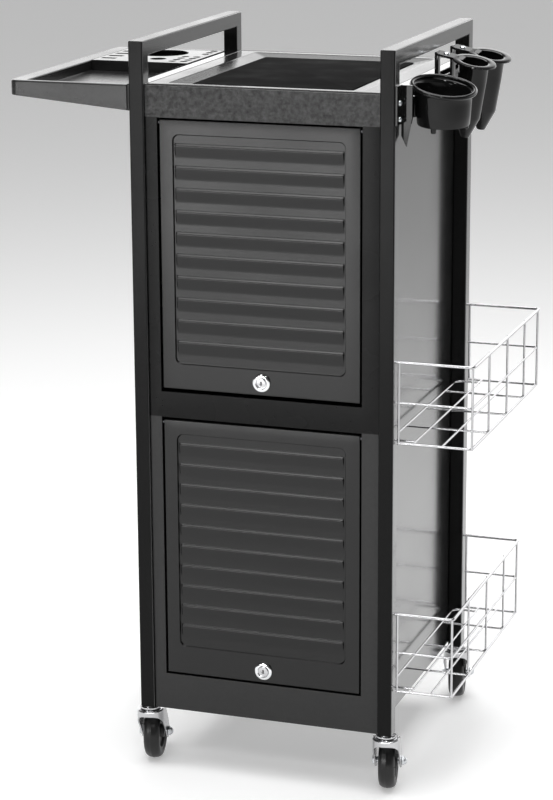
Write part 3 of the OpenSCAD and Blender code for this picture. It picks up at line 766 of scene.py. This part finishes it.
# how far each basket reaches out, the height of its floor, and where its long floor wires run
for which, reach, z, bars in (("upper", 102, 486, (24, 62)), ("lower", 79, 149, (24, 50))):
    xi, xo, y, top, mid_z = HALF_W, HALF_W + reach, POST_Y, z + 107, z + 53.5
    hoops = [(wire_path([(xi - 1, -y, top), (xo, -y, top), (xo, y, top), (xi - 1, y, top)], 5), 2.0)]
    for level, r in ((mid_z, 1.6), (z, 1.8)):
        o = xo - 1.8
        hoops.append((wire_path([(xi + 2, -y + 1.8, level), (o, -y + 1.8, level), (o, y - 1.8, level),
                                  (xi + 2, y - 1.8, level)], 5), r))
    wires(f"{which}_basket_rings", hoops, "frame", [f"{which}_basket_outer_side"])
    for end, sy in ENDS.items():
        ups = [([(xi + 4, sy * (y - 1.2), z - 1.5), (xi + 4, sy * (y - 1.2), top - 1)], 1.6),
               ([(xo - 1.6, sy * (y - 1.6), z - 1), (xo - 1.6, sy * (y - 1.6), top - 1)], 1.6)]
        wires(f"{which}_basket_uprights_{end}", ups, "frame", [f"{which}_basket_{end}_end"])
    floor_x, floor_y = INNER_X + 9, INNER_Y - 6
    under = [(wire_path([(xi + 24, -floor_y, z), (floor_x, -floor_y, z), (floor_x, floor_y, z),
                         (xi + 24, floor_y, z)], 10), 1.6)]
    for bar in bars:
        under.append(([(xi + bar, -y + 2, z + 1.6), (xi + bar, y - 2, z + 1.6)], 1.3))
    for gy in (-85, 10, 105):
        under.append((wire_path([(xo - 3, gy, top), (xo - 3, gy, z - 1.4), (floor_x, gy, z - 1.4)], 4), 1.45))
    wires(f"{which}_basket_floor_wires", under, "frame", [f"{which}_basket_floor"])

# ---------------------------------------------------------------- casters
# the casters' yaw at rest, and the axle's place behind the stem and above the floor
YAW, TRAIL, AXLE_Z = math.radians(10.5), 33, 37.5
CAP = [(5.2, 84.2), (12.4, 84.2), (13.9, 83.9), (14.4, 83.2), (14.2, 82.7), (14.0, 82.5), (15.4, 82.6),
       (16.8, 82.2), (17.7, 81.4), (17.9, 80.4), (17.6, 79.5), (5.2, 79.5)]
TYRE = [(27, -10.6), (29, -11), (31.5, -10.9), (33.6, -10.1), (35.3, -8.4), (36.5, -6), (37.05, -3.6),
        (37.2, -1.4), (37.5, -0.9), (37.5, 0.9), (37.2, 1.4), (37.05, 3.6), (36.5, 6), (35.3, 8.4),
        (33.6, 10.1), (31.5, 10.9), (29, 11), (27, 10.6)]
HUB = [(4.1, -12.5), (8.2, -12.5), (9, -12), (9, -6.4), (9.6, -5.6), (22.4, -5.6), (23, -6.4),
       (23.4, -9.4), (24.2, -10), (27, -10), (27, 10), (24.2, 10), (23.4, 9.4), (23, 6.4), (22.4, 5.6),
       (9.6, 5.6), (9, 6.4), (9, 12), (8.2, 12.5), (4.1, 12.5)]
NUT_DOME = [(5.2, 20.5), (5.1, 21.8), (4.5, 23.0), (3.3, 24.0), (1.8, 24.6), (0.05, 24.8)]

# the fork's edges, as heights: along its legs by the distance behind the stem, at its arch by the angle from
# the front
FORK_R = 17.9
FORK_TOP = 81
FORK_SHEET = 2.2
LEG_Y = (43, 42.3, 41.5, 40, 38, 35.5, 33, 30, 27, 24, 20, 16, 12, 8, 4)
LEG_LOW = [(0, 61), (8, 53), (16, 43.5), (23, 34.5), (27, 30), (33, 27.8), (38, 29), (41.5, 33), (43, 37.4)]
LEG_TOP = [(0, FORK_TOP), (10, FORK_TOP), (16, 79.5), (22, 74), (30, 62.5), (37, 51), (41, 43.5), (43, 37.6)]
ARCH = [(0, 75.6), (25, 75.2), (45, 73.2), (62, 69.5), (78, 65), (90, 61)]


def fork_shell():
    """The pressed fork: a round skirt with an arched opening, whose sides run back and down to the axle."""
    r, arch_steps, n = FORK_R, 24, 9
    columns = [(-r, y, interpolate(LEG_LOW, y), interpolate(LEG_TOP, y)) for y in LEG_Y]
    for k in range(arch_steps + 1):
        a = -90 + 180 * k / arch_steps
        x, y = r * math.sin(math.radians(a)), -r * math.cos(math.radians(a))
        columns.append((x, y, interpolate(ARCH, abs(a)), FORK_TOP))
    columns += [(-x, y, low, high) for x, y, low, high in reversed(columns[:len(LEG_Y)])]
    verts = [(x, y, low + (high - low) * k / (n - 1)) for x, y, low, high in columns for k in range(n)]
    faces = [(i * n + k, (i + 1) * n + k, (i + 1) * n + k + 1, i * n + k + 1)
             for i in range(len(columns) - 1) for k in range(n - 1)]
    return verts, faces


for end, side, spot in POST_SPOTS:
    name = f"{end}_{side}"
    swivel = Matrix.Translation(spot) @ Matrix.Rotation(YAW, 4, "Z")
    wheel = swivel @ Matrix.Translation((0, TRAIL, AXLE_Z)) @ Matrix.Rotation(math.radians(90), 4, "Y")
    shell = new_piece(f"{name}_fork_shell", *moved(fork_shell(), swivel), "caster_chrome", f"{name}_caster",
                      [f"{name}_fork"], "chrome", closed=False)
    thicken(shell, FORK_SHEET)
    edge = shell.modifiers.new("edge", "BEVEL")
    edge.width = 0.0005
    edge.segments = 2
    edge.angle_limit = math.radians(50)
    new_piece(f"{name}_fork_cap", *moved(lathe(CAP, closed=True), swivel), "caster_chrome", f"{name}_caster",
              slot="chrome")
    bolt = [moved(lathe([(0.05, -19), (4, -19), (4, 19), (0.05, 19)], 32), wheel)]
    for z0, z1 in ((-21.5, -18), (18, 21)):
        bolt.append(moved(lathe([(5.8, z0), (6.8, z0 + 0.5), (6.8, z1 - 0.5), (5.8, z1)], 6), wheel))
    bolt.append(moved(lathe(NUT_DOME, 32), wheel))
    new_piece(f"{name}_axle_bolt", *join(*bolt), "zinc_steel", f"{name}_caster", [f"{name}_axle"])
    new_piece(f"{name}_tyre_tread", *moved(lathe(TYRE, 96, closed=True), wheel), "tyre_rubber",
              f"{name}_wheel", [f"{name}_tyre"])
    new_piece(f"{name}_hub_disc", *moved(lathe(HUB, closed=True), wheel), "hub_plastic",
              f"{name}_wheel", [f"{name}_hub"])

# ---------------------------------------------------------------- the CAD nodes that stay
KEPT = ["side_panel_left", "side_panel_right", "back_panel", "bottom_panel", "shelf", "upper_hinge_pins",
        "lower_hinge_pins", "upper_lock_nut", "lower_lock_nut", "upper_lock_cam", "lower_lock_cam",
        "side_tray_insert", "side_tray_brackets", "holder_rail"]
for name in KEPT:
    soften(nodes[name], 0.8 if name in ("side_tray_insert", "holder_rail") else 0.4)

# ---------------------------------------------------------------- stage, light, camera
FLOOR_HALF = 40
floor_mesh = bpy.data.meshes.new("floor")
corners = [(sx * FLOOR_HALF, sy * FLOOR_HALF, 0) for sx, sy in ((-1, -1), (1, -1), (1, 1), (-1, 1))]
floor_mesh.from_pydata(corners, [], [(0, 1, 2, 3)])
floor = bpy.data.objects.new("floor", floor_mesh)
bpy.context.scene.collection.objects.link(floor)
floor_pale = new_material("floor_pale", grey(0.85), 0.9, level=0.0)
shader = floor_pale.node_tree.nodes["Principled BSDF"]
shader.inputs["Emission Color"].default_value = (1, 1, 1, 1)
shader.inputs["Emission Strength"].default_value = 0.28
floor_mesh.materials.append(floor_pale)

world = bpy.data.worlds.new("studio")
bpy.context.scene.world = world
world.use_nodes = True
tree = world.node_tree
background = tree.nodes["Background"]
coords = tree.nodes.new("ShaderNodeTexCoord")


def direction_ramp(towards, lo, hi, value_lo, value_hi):
    """Rises smoothly from value_lo to value_hi as the direction turns towards a vector."""
    dot = tree.nodes.new("ShaderNodeVectorMath")
    dot.operation = "DOT_PRODUCT"
    dot.inputs[1].default_value = Vector(towards).normalized()
    tree.links.new(coords.outputs["Generated"], dot.inputs[0])
    r = tree.nodes.new("ShaderNodeMapRange")
    r.interpolation_type = "SMOOTHSTEP"
    for key, value in zip(("From Min", "From Max", "To Min", "To Max"), (lo, hi, value_lo, value_hi)):
        r.inputs[key].default_value = value
    tree.links.new(dot.outputs["Value"], r.inputs["Value"])
    return r.outputs["Result"]


def combine(kind, a, b):
    """A maths node on two sockets."""
    n = tree.nodes.new("ShaderNodeMath")
    n.operation = kind
    for socket, value in zip(n.inputs, (a, b)):
        tree.links.new(value, socket)
    return n.outputs["Value"]


behind = direction_ramp((0, 1, 0), 0.0, 0.6, 0.10, 1.9)
to_right = direction_ramp((1, 0.15, 0.1), 0.45, 0.95, 0.0, 0.3)
low = direction_ramp((0, 0, 1), 0.38, 0.55, 1.0, 0.12)
tree.links.new(combine("MULTIPLY", combine("MAXIMUM", behind, to_right), low), background.inputs["Strength"])
background.inputs["Color"].default_value = (1, 1, 1, 1)


def soft_light(name, at, towards, size, power):
    """A rectangular area light of a size in metres and a power in watts."""
    data = bpy.data.lights.new(name, "AREA")
    data.shape = "RECTANGLE"
    data.size, data.size_y = size
    data.energy = power
    obj = bpy.data.objects.new(name, data)
    bpy.context.scene.collection.objects.link(obj)
    obj.location = at
    obj.rotation_euler = (Vector(towards) - Vector(at)).to_track_quat("-Z", "Y").to_euler()


soft_light("floor_box", (-1.2, -4.15, 1.1), (-1.2, -4.15, 0), (2.2, 0.9), 150)
soft_light("low_box", (-1.05, -2.85, 0.6), (0, 0, 0.85), (1.2, 0.35), 6)
soft_light("spark_box", (0.9, -2.3, 2.3), (0, 0, 0.85), (0.3, 0.3), 9)
soft_light("strip_box", (-0.4, -1.25, 2.9), (0, -0.2, 0.8), (2.4, 0.8), 26)
soft_light("high_box", (-1.05, -2.75, 2.4), (0, 0, 0.85), (0.5, 0.4), 8)
soft_light("top_box", (0.2, 0.3, 3.2), (0.2, 0.301, 0), (2.2, 2.8), 90)
bpy.context.scene.view_settings.view_transform = "Standard"

AZIMUTH, ELEVATION, ROLL = (math.radians(a) for a in (19.365, 14.631, -0.384))
DISTANCE, AIM_DX, AIM_Z = 3.4864, -0.0598, 0.4889
SENSOR, LENS = 36, 114.6
SHIFT = (0.01354, -0.00778)
camera_data = bpy.data.cameras.new("camera")
camera = bpy.data.objects.new("camera", camera_data)
bpy.context.scene.collection.objects.link(camera)
aim = Vector((ORIGIN.x / 1000 + AIM_DX, ORIGIN.y / 1000, AIM_Z))
back = Vector((
    math.sin(AZIMUTH) * math.cos(ELEVATION),
    -math.cos(AZIMUTH) * math.cos(ELEVATION),
    math.sin(ELEVATION),
))
right = (-back).cross(Vector((0, 0, 1))).normalized()
up = right.cross(-back)
turned = right * math.cos(ROLL) + up * math.sin(ROLL)
upright = up * math.cos(ROLL) - right * math.sin(ROLL)
axes = Matrix((turned, upright, back)).transposed().to_4x4()
camera.matrix_world = Matrix.Translation(aim + back * DISTANCE) @ axes
camera_data.sensor_width = SENSOR
camera_data.lens = LENS
camera_data.shift_x, camera_data.shift_y = SHIFT
camera_data.clip_start, camera_data.clip_end = 0.1, 200
bpy.context.scene.camera = camera
